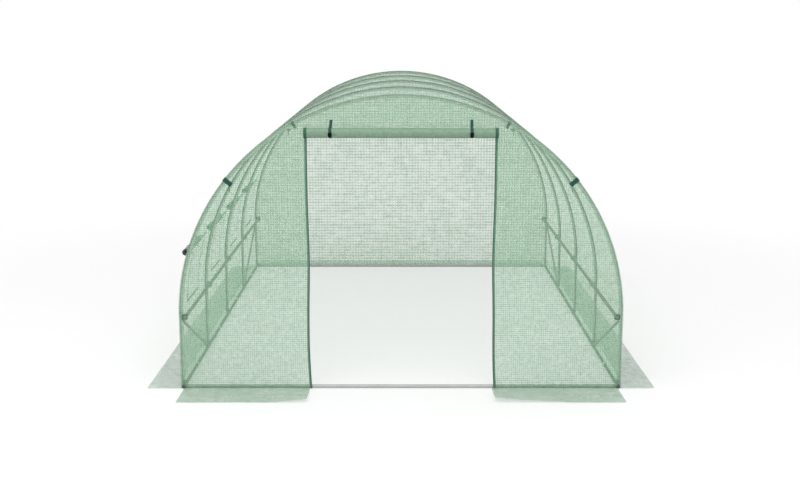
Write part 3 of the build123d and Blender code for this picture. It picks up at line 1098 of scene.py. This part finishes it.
flaps, flap_ends, ties, strips = [], [], [], []
inward = Vector((cos(flap_lean), 0.0, -sin(flap_lean)))
upward = Vector((sin(flap_lean), 0.0, cos(flap_lean)))
lengthways = Vector((0, 1, 0))
for n, middle in enumerate(bay_middles):
    centre = Vector((-flap_distance * cos(flap_lean), middle, leg_top + flap_distance * sin(flap_lean)))
    flap, ends = roll_with_ends(
        flap_reach, flap_length, flap_core, flap_radius, (centre, inward, upward, lengthways),
        (0.012, 110), flap_thick, (-tie_offset, tie_offset), flap_seam,
    )
    flaps.append(finish_piece(f"window_flap_{n + 1}", flap, flap_sheet, "flap_sheet", "window_rolls"))
    flap_ends += ends
    strips.append(hanging_strip(middle))
    for offset in (-tie_offset, tie_offset):
        tied = centre + Vector((0.0, offset, 0.0))
        wall = tied + inward * (flap_radius + flap_hang - 0.0035)
        top, bottom = wall + upward * tie_rise, wall - upward * tie_drop
        ways = (tied, inward, upward)
        line = round_the_roll(ways, tie_radius, top, bottom, radians(65), radians(292))
        ties.append(lay_strap(line, lengthways, tie_width, tie_thick))
finish_piece("window_flap_ends", join_shapes(flap_ends), flap_binding, "door_binding")
window_flap_tops = finish_piece("window_flap_tops", join_shapes(strips), tunnel_sheet, "tunnel_sheet")
finish_piece("window_tie_loops", join_shapes(ties), tie_webbing, "tie_webbing", "window_ties")

# --- Straps round the outer hoops ---
# Dark green straps hold the cover's ends to the outer hoops, each with a thin loose tail inside,
# and small tabs tie the sheet to the hoop higher up.

band_angle = radians(38.8)
band_width = 0.03
band_thick = 0.002
band_reach = 0.048
band_drop = 0.066
band_bend = 0.004
tail_length, tail_width, tail_thick = 0.07, 0.009, 0.0014
tab_angle = radians(61.5)
tab_width, tab_thick = 0.02, 0.0014


def on_arch(side, angle):
    """The way out from the arch's centre at an angle, and the way along the arch there."""
    return Vector((side * cos(angle), 0.0, sin(angle))), Vector((-side * sin(angle), 0.0, cos(angle)))


hoop_straps = []
for side in (-1, 1):
    out, tangent = on_arch(side, band_angle)
    spring = Vector((0.0, 0.0, leg_top))
    outer = cover_outside + band_thick / 2
    for end in (-1, 1):
        corner = end * (cover_end + band_thick / 2)
        line = [spring + out * outer + Vector((0, corner - end * band_reach, 0))]
        for n in range(7):
            turn = n / 6 * pi / 2
            round_corner = Vector((0, corner - end * band_bend * (1 - sin(turn)), 0))
            line.append(spring + out * (outer - band_bend + band_bend * cos(turn)) + round_corner)
        line.append(spring + out * (outer - band_drop) + Vector((0, corner, 0)))
        hoop_straps.append(lay_strap(line, tangent, band_width, band_thick))
        top = spring + out * (hoop_radius - tube_radius) + Vector((0, end * hoop_lines[-1], 0))
        knot = top - out * 0.006
        bend = knot + Vector((-side * 0.004, 0, -0.3 * tail_length))
        tip = knot + Vector((-side * 0.006, 0, -tail_length))
        tail_way = Vector((0.8 * side, 0.6, 0.0))
        hoop_straps.append(lay_strap([top, knot, bend, tip], tail_way, tail_width, tail_thick))
bands = join_shapes(hoop_straps)
finish_piece("hoop_strap_bands", bands, strap_webbing, "strap_webbing", "hoop_ties")

tabs = []
loop = tube_radius + 0.0012
for side in (-1, 1):
    out, tangent = on_arch(side, tab_angle)
    for line_y in (hoop_lines[0], hoop_lines[-1]):
        middle = Vector((0.0, line_y, leg_top)) + out * hoop_radius
        line = [middle - out * (loop + 0.02) + Vector((0, 0.001, 0))]
        for n in range(33):
            turn = pi + 2 * pi * n / 32
            line.append(middle + out * loop * cos(turn) + Vector((0, loop * sin(turn), 0)))
        line.append(middle - out * (loop + 0.018) - Vector((0, 0.001, 0)))
        tabs.append(lay_strap(line, tangent, tab_width, tab_thick))
finish_piece("hoop_tie_tabs", join_shapes(tabs), strap_webbing, "strap_webbing")

# --- Bolts of the frame ---
# Every foot fitting is held to the hoop's leg and to the rail by zinc-plated bolts, and every
# purlin clamp is drawn up by one: a washer under a hexagonal head.

bolt_size = 0.0045
head_height = 0.0048
washer_height = 0.0012
rail_bolt_step = 0.026
foot_bolt_drop = 0.011
bolt_zinc = ((0.55, 0.56, 0.55), (0.33, 0.35, 0.34))


def make_bolt(side, x, y, z):
    """A bolt head and its washer, standing on a surface and facing the middle of the tunnel."""
    shape = bmesh.new()
    for radius, low, high, sides in (
        (1.75 * bolt_size, -0.002, washer_height, 20),
        (1.15 * bolt_size, 0.0, head_height, 6),
    ):
        made = bmesh.ops.create_cone(
            shape, cap_ends=True, segments=sides, radius1=radius, radius2=radius, depth=high - low
        )["verts"]
        bmesh.ops.translate(shape, vec=(0.0, 0.0, (low + high) / 2), verts=made)
        top = [vert for vert in made if vert.co.z > high - 1e-6]
        rim = [edge for edge in shape.edges if edge.verts[0] in top and edge.verts[1] in top]
        round_edges(shape, rim, 0.0005)
    turn = Vector((-side, 0, 0)).to_track_quat("Z", "Y").to_matrix().to_4x4()
    placed = Matrix.Translation(Vector((side * x, y, z))) @ turn
    bmesh.ops.transform(shape, matrix=placed, verts=shape.verts)
    return shape


clamp_low, clamp_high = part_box("purlin_clamps")
clamp_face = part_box("purlin_right")[0].x - 0.003
rail_face = rail_middle - rail_radius
bolts = []
for side in (-1, 1):
    for y in hoop_lines:
        bolts.append(make_bolt(side, rail_face, y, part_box("foot_fittings")[1].z - foot_bolt_drop))
        bolts.append(make_bolt(side, clamp_face, y, (clamp_low.z + clamp_high.z) / 2))
        for step in (-rail_bolt_step, rail_bolt_step):
            if abs(y + step) < cover_end - 0.01:
                bolts.append(make_bolt(side, rail_face, y + step, rail_radius))
bolt_steel = zinc_material("bolt_zinc", bolt_zinc, 0.8)
finish_piece("frame_bolts", join_shapes(bolts), bolt_steel, "fitting_steel")
